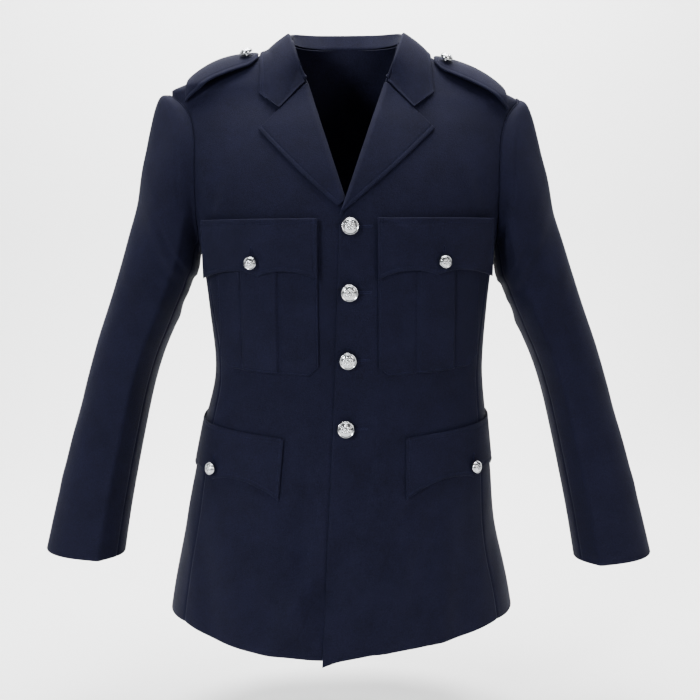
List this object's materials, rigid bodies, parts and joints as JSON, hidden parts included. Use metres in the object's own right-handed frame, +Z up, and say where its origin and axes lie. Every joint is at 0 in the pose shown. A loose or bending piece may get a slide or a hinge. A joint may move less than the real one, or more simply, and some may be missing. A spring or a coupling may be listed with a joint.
{
  "type": "police uniform tunic",
  "caption": "Single-breasted police uniform tunic, worn and hollow, with notched lapels, pleated breast pockets, scalloped flaps, shoulder straps and domed metal buttons.",
  "frame": {"origin": "middle of the neck base, 18 mm below the neck ends of the shoulder seams, where a wearer's shoulders hold it", "axes": "+X towards the wearer's left, +Y towards the back, +Z up"},
  "size_m": [0.8472, 0.3033, 0.8278],
  "materials": {
    "navy_barathea": "matte fine twill wool",
    "chromed_button": "polished chrome"
  },
  "bodies": {
    "root": {"front_left": "navy_barathea", "front_right": "navy_barathea", "back_left": "navy_barathea", "back_right": "navy_barathea", "side_left": "navy_barathea", "side_right": "navy_barathea", "lapel_left": "navy_barathea", "lapel_right": "navy_barathea", "top_sleeve_left": "navy_barathea", "top_sleeve_right": "navy_barathea", "under_sleeve_left": "navy_barathea", "under_sleeve_right": "navy_barathea", "epaulette_left": "navy_barathea", "epaulette_right": "navy_barathea", "breast_pocket_left": "navy_barathea", "breast_pocket_right": "navy_barathea", "breast_flap_left": "navy_barathea", "breast_flap_right": "navy_barathea", "skirt_flap_left": "navy_barathea", "skirt_flap_right": "navy_barathea", "collar": "navy_barathea", "button_front_1": "chromed_button", "button_front_2": "chromed_button", "button_front_3": "chromed_button", "button_front_4": "chromed_button", "button_breast_left": "chromed_button", "button_breast_right": "chromed_button", "button_skirt_left": "chromed_button", "button_skirt_right": "chromed_button", "button_epaulette_left": "chromed_button", "button_epaulette_right": "chromed_button"}
  },
  "joints": []
}
